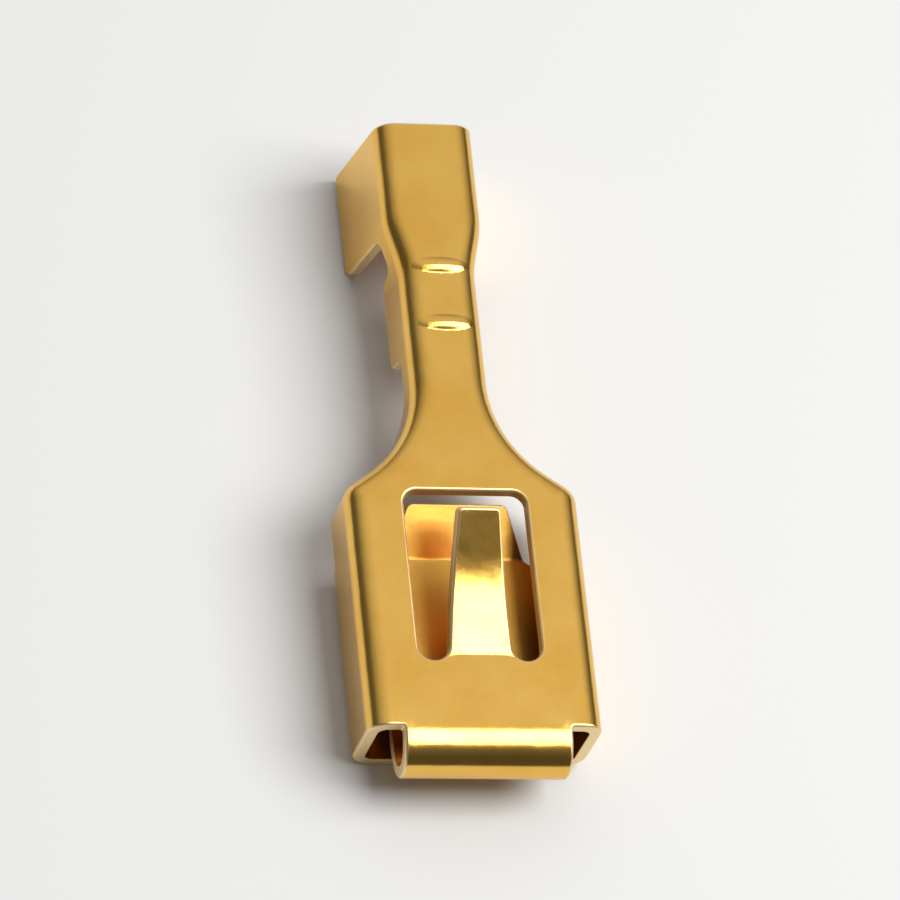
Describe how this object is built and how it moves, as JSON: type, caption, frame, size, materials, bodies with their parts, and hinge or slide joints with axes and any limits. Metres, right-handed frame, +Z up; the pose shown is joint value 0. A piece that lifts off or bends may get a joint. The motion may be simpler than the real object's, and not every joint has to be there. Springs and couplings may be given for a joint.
{
  "type": "female spade terminal",
  "caption": "Folded brass female spade terminal with a locking lance, a crimp barrel for the wire and a wider one for its insulation.",
  "frame": {"origin": "centre of the bounding box's foot, on the surface the terminal lies on", "axes": "+Y from the mouth towards the insulation barrel, +Z up through the floor and its lance, +X across"},
  "size_m": [0.0076, 0.0226, 0.005],
  "materials": {
    "brass": "bright rolled sheet"
  },
  "bodies": {
    "root": {"spade_terminal": "brass"}
  },
  "joints": []
}
